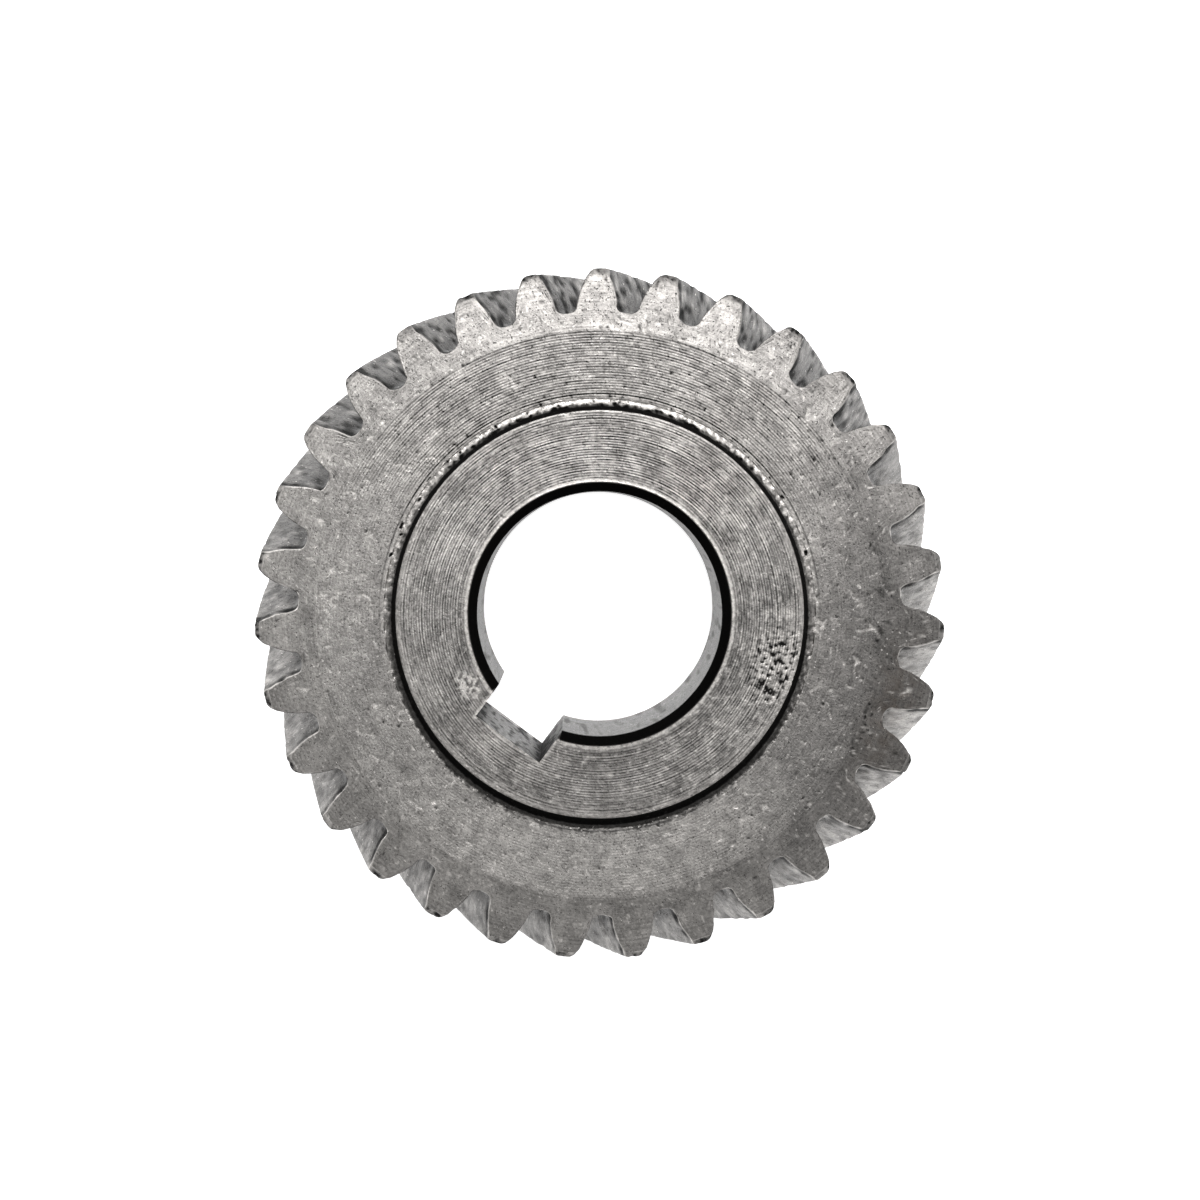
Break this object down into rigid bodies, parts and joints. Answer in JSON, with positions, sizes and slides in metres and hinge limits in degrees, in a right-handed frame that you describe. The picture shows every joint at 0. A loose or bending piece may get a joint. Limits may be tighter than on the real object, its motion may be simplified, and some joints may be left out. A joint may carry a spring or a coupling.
{
  "type": "helical gear",
  "caption": "Right-hand helical gear in steel with a keyed, chamfered bore and a hub that stands proud of its toothed rim on both sides.",
  "frame": {"origin": "centre of the back hub face, on the bore axis", "axes": "+Z along the bore, out of the front hub face; -Y through the middle of the keyway"},
  "size_m": [0.0708, 0.0708, 0.02],
  "materials": {
    "machined_steel": "turned and hobbed, lightly worn"
  },
  "bodies": {
    "root": {"helical_gear": "machined_steel"}
  },
  "joints": []
}
